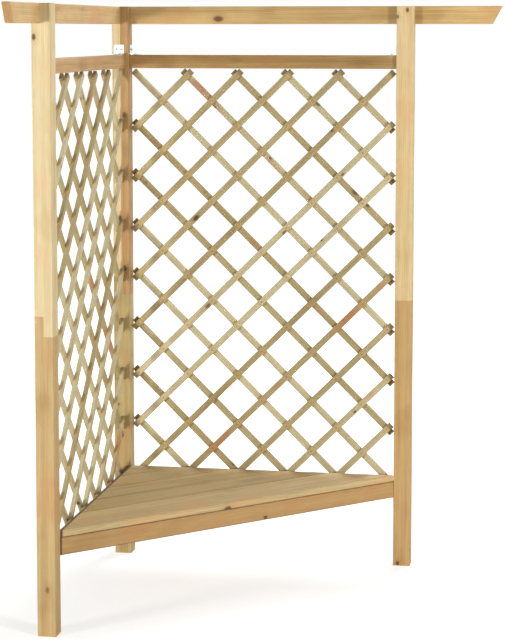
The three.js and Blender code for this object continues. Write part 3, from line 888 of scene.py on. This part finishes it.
def grow(name, rule, base, slot, **inputs):
    """Runs a rule on a base mesh and keeps the result as one plain piece of the arbour."""
    piece = bpy.data.objects.new(name, base)
    bpy.context.scene.collection.objects.link(piece)
    modifier = piece.modifiers.new("rule", "NODES")
    modifier.node_group = rule
    for socket in rule.interface.items_tree:
        key = socket.name.lower().replace(" ", "_")
        if socket.item_type == "SOCKET" and socket.in_out == "INPUT" and key in inputs:
            modifier[socket.identifier] = inputs[key]
    graph = bpy.context.evaluated_depsgraph_get()
    grown = bpy.data.meshes.new_from_object(
        piece.evaluated_get(graph), preserve_all_data_layers=True, depsgraph=graph)
    piece.modifiers.remove(modifier)
    piece.data = grown
    grown.name = name
    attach(piece, "root")
    return piece


def stacked_rings(name, rings):
    """A small closed shape through rings of points, from its flat back to its front."""
    shape = bmesh.new()
    loops = [[shape.verts.new(point) for point in ring] for ring in rings]
    sides = len(rings[0])
    for lower, upper in zip(loops, loops[1:]):
        for i in range(sides):
            j = (i + 1) % sides
            shape.faces.new((lower[i], lower[j], upper[j], upper[i]))
    shape.faces.new(list(reversed(loops[0])))
    shape.faces.new(loops[-1])
    bmesh.ops.recalc_face_normals(shape, faces=shape.faces)
    mesh = bpy.data.meshes.new(name)
    shape.to_mesh(mesh)
    shape.free()
    for face in mesh.polygons:
        face.use_smooth = len(face.vertices) == 4
    return bpy.data.objects.new(name, mesh)


def turned_rings(radius, height, profile, sides):
    """The rings of a turned head: its sunk back, then shares of its radius and height."""
    angles = [math.tau * (i - 0.5) / sides for i in range(sides)]
    levels = [(radius, -HEAD_SUNK)] + [(radius * out, height * up) for out, up in profile]
    return [[(r * math.cos(a), r * math.sin(a), level) for a in angles] for r, level in levels]


def cross(reach, width, height):
    """The outline of a cross recess, its points in step with a ring of twelve."""
    half = width / 2
    points = []
    for quarter in range(4):
        turn = Matrix.Rotation(quarter * math.pi / 2, 3, "Z")
        for x, y in ((reach, -half), (reach, half), (half, half)):
            points.append(tuple(turn @ Vector((x, y, height))))
    return points


def screw_head():
    """A pan head with a cross recess, all in shares of its radius and height."""
    radius, height = SCREW_HEAD_RADIUS, SCREW_HEAD_HEIGHT
    rings = turned_rings(radius, height, ((1.0, 0.35), (0.9, 0.75), (0.68, 1.0)), sides=12)
    for reach, width, level in ((0.52, 0.2, 1.0), (0.3, 0.12, 0.25)):
        rings.append(cross(radius * reach, radius * width, height * level))
    return stacked_rings("screw_head", rings)


def pin_head():
    """A low round pin head, dimpled where it was set."""
    profile = ((1.0, 0.3), (0.8, 1.0), (0.5, 0.95), (0.3, 0.2))
    rings = turned_rings(PIN_HEAD_RADIUS, PIN_HEAD_HEIGHT, profile, sides=10)
    return stacked_rings("pin_head", rings)


def trellis_cell(side):
    """The width and height of a packed panel's cells, settled so that the slats' tails fit it."""
    low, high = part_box(f"{side}_trellis")
    extent = high - low
    width, height = max(extent.x, extent.y), extent.z
    cell = Vector((width / TRELLIS_COLUMNS, height / TRELLIS_ROWS))
    for _ in range(SETTLING_ROUNDS):
        lean = cell.normalized()
        reach = SLAT_TAIL * lean + SLAT_WIDTH / 2 * lean.yx
        cell.x = (width - 2 * reach.x) / TRELLIS_COLUMNS
        cell.y = (height - 2 * reach.y) / TRELLIS_ROWS
    return cell


def add_trellises():
    """Slats and pins of both panels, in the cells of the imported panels."""
    slats, pins, head = trellis_rule(), pin_rule(), pin_head()
    timber = slat_material(trellis_cell("right").length / 2)
    for side, turn, seed in (("right", 0.0, 5), ("left", math.pi / 2, 4)):
        low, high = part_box(f"{side}_trellis")
        cell = trellis_cell(side)
        panel = {
            "columns": TRELLIS_COLUMNS, "rows": TRELLIS_ROWS, "cell_width": cell.x,
            "cell_height": cell.y, "place": (low + high) / 2, "turn": turn, "seed": seed,
        }
        lattice = grow(
            f"{side}_trellis_slats", slats, bpy.data.meshes.new("slats"), "slat_timber",
            slat_width=SLAT_WIDTH, slat_thickness=SLAT_THICKNESS, slat_tail=SLAT_TAIL,
            lap=SLAT_LAP, arris=SLAT_ARRIS, material=timber, **panel)
        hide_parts(f"{side}_trellis")
        grow(
            f"{side}_trellis_pins", pins, bpy.data.meshes.new("pins"), "screw_steel", head=head,
            face_depth=SLAT_THICKNESS - SLAT_LAP / 2, material=PIN_STEEL, **panel)
    bpy.data.objects.remove(head)


def marks(name, places):
    """Points for screw heads, each with the way it faces."""
    points, ways = zip(*places)
    mesh = bpy.data.meshes.new(name)
    mesh.from_pydata(points, [], [])
    facing = mesh.attributes.new("way", "FLOAT_VECTOR", "POINT")
    for mark, way in zip(facing.data, ways):
        mark.vector = way
    return mesh


def bracket_screw_places():
    """Two screws in each leg of each angle bracket: into the post, and into the rail."""
    reach, thickness = BRACKET_HOLE_REACH, BRACKET_THICKNESS
    places = []
    for side in SIDES:
        along_way = SIDES[side][0]
        for heel, outward in ((BRACKET_HEEL, 1), (POST_SPACING - BRACKET_HEEL, -1)):
            for level, rise in ((UPPER_BRACKET_LEVEL, 1), (SEAT_BRACKET_LEVEL, -1)):
                for aside in (-BRACKET_HOLE_SPACING / 2, BRACKET_HOLE_SPACING / 2):
                    inward = RAIL_MIDDLE_OFFSET + aside
                    on_post = spot(side, heel + outward * thickness, inward, level + rise * reach)
                    on_rail = spot(side, heel + outward * reach, inward, level + rise * thickness)
                    places += [(on_post, along_way * outward), (on_rail, UP * rise)]
    return places


def board_screw_places():
    """One screw up through each bearer into each seat board."""
    front_screw_share = 0.6
    middles = [FRONT_BOARD_WIDTH * front_screw_share] + [
        FRONT_BOARD_WIDTH + REAR_BOARD_WIDTH * (i + 0.5) for i in range(REAR_BOARD_COUNT)]
    places = []
    for inward in middles:
        for side in SIDES:
            along = POST_SPACING - BEARER_MIDDLE_OFFSET - math.sqrt(2) * inward
            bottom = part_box(f"{side}_seat_bearer")[0].z
            places.append((spot(side, along, BEARER_MIDDLE_OFFSET, bottom), -UP))
        places.append((on_front(0, inward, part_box("seat_centre_bearer")[0].z), -UP))
    return places


def add_screw_heads():
    rule, head = screw_rule(), screw_head()
    for name, places in (
            ("bracket_screw_heads", bracket_screw_places()),
            ("board_screw_heads", board_screw_places())):
        base = marks(name, places)
        grow(name, rule, base, "screw_steel", head=head, seed=7, material=SCREW_STEEL)
    bpy.data.objects.remove(head)


def seen_directly(graph):
    """One for rays from the camera or mirrored or passed on to it, nothing for light."""
    rays = graph.put("ShaderNodeLightPath").outputs
    seen = graph.math("MAXIMUM", rays["Is Camera Ray"], rays["Is Glossy Ray"])
    return graph.math("MAXIMUM", seen, rays["Is Transmission Ray"])


def add_floor():
    """A pale floor that keeps the arbour's shadow and turns white further off."""
    reach = FLOOR_REACH
    corners = [(-reach, -reach, 0), (reach, -reach, 0), (reach, reach, 0), (-reach, reach, 0)]
    mesh = bpy.data.meshes.new("floor")
    mesh.from_pydata(corners, [], [(0, 1, 2, 3)])
    floor = bpy.data.objects.new("floor", mesh)
    bpy.context.scene.collection.objects.link(floor)
    material, graph = new_material("pale_floor")
    matt = graph.make("ShaderNodeBsdfDiffuse", {"Color": FLOOR_GREY})
    place = graph.put("ShaderNodeTexCoord").outputs["Object"]
    distance = graph.vector("LENGTH", place)
    whitening = graph.fade(distance, SHADOW_REACH, WHITE_REACH, FLOOR_LIFT, 1.0)
    strength = graph.times(seen_directly(graph), whitening)
    glow = graph.make("ShaderNodeEmission", {"Strength": strength})
    both = graph.make("ShaderNodeAddShader", {0: matt, 1: glow})
    graph.put("ShaderNodeOutputMaterial", {"Surface": both})
    mesh.materials.append(material)


def add_lamp(name, azimuth, elevation, distance, size, power):
    """An area lamp aimed at the middle of the arbour."""
    turn, rise = math.radians(azimuth), math.radians(elevation)
    way = Vector((
        math.sin(turn) * math.cos(rise), -math.cos(turn) * math.cos(rise), math.sin(rise)))
    light = bpy.data.lights.new(name, "AREA")
    light.shape = "DISK"
    light.size = size
    light.energy = power
    lamp = bpy.data.objects.new(name, light)
    lamp.location = ARBOUR_MIDDLE + way * distance
    lamp.rotation_euler = way.to_track_quat("Z", "Y").to_euler()
    bpy.context.scene.collection.objects.link(lamp)


def add_light():
    """The lamps, and a sky that gives a soft light and is seen as white."""
    for name, settings in LAMPS.items():
        add_lamp(name, *settings)
    world = bpy.data.worlds.new("studio")
    world.use_nodes = True
    world.node_tree.nodes.clear()
    bpy.context.scene.world = world
    graph = Graph(world.node_tree)
    soft = graph.make("ShaderNodeBackground", {"Color": SOFT_SKY, "Strength": SOFT_SKY_STRENGTH})
    white = graph.make("ShaderNodeBackground", {"Color": WHITE, "Strength": 1.0})
    both = graph.make("ShaderNodeMixShader", {"Fac": seen_directly(graph), 1: soft, 2: white})
    graph.put("ShaderNodeOutputWorld", {"Surface": both})


def add_camera():
    """The photograph's own viewpoint, lens and framing."""
    lens = bpy.data.cameras.new("photograph")
    lens.lens = LENS_LENGTH
    lens.shift_y = LENS_SHIFT
    lens.clip_end = VIEW_REACH
    camera = bpy.data.objects.new("photograph", lens)
    camera.location = CAMERA_PLACE
    camera.rotation_euler = (math.pi / 2 - CAMERA_DIP, 0.0, CAMERA_TURN)
    bpy.context.scene.collection.objects.link(camera)
    bpy.context.scene.camera = camera


add_camera()
add_light()
add_floor()
dress_posts()
dress_beams_and_rails()
dress_seat()
dress_apron()
dress_bearers()
dress_ironwork()
add_trellises()
add_screw_heads()
bpy.context.scene.view_settings.view_transform = "Standard"
